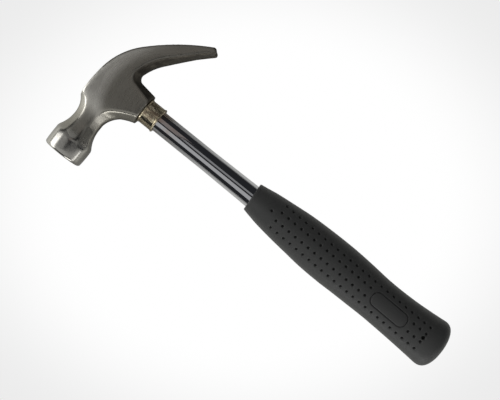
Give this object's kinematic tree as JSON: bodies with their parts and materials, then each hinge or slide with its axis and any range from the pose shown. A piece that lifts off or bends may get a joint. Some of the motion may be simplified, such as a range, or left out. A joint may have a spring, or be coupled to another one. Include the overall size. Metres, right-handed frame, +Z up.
{
  "type": "claw hammer",
  "caption": "Claw hammer lying on its side: forged steel head with round bell, octagonal neck and split curved claw, on a tubular steel handle with an oval rubber grip.",
  "frame": {"origin": "middle of the outline's bounding box, on the surface that the hammer lies on", "axes": "+X along the handle from the head to the butt, +Y towards the claw with the striking face at -Y, +Z up, square to the hammer's flat side"},
  "size_m": [0.3212, 0.1293, 0.0312],
  "materials": {
    "head_steel": "satin ground forging",
    "tube_chrome": "bright plated",
    "collar_brass": "pale, slightly tarnished",
    "core_wood": "bare hardwood",
    "wedge_steel": "rough",
    "plug_plastic": "moulded",
    "grip_rubber": "matte moulded rubber"
  },
  "bodies": {
    "root": {"head": "head_steel", "handle_tube": "tube_chrome", "collar": "collar_brass", "eye_core": "core_wood", "eye_wedge": "wedge_steel", "tube_end_plug": "plug_plastic", "grip": "grip_rubber"}
  },
  "joints": []
}
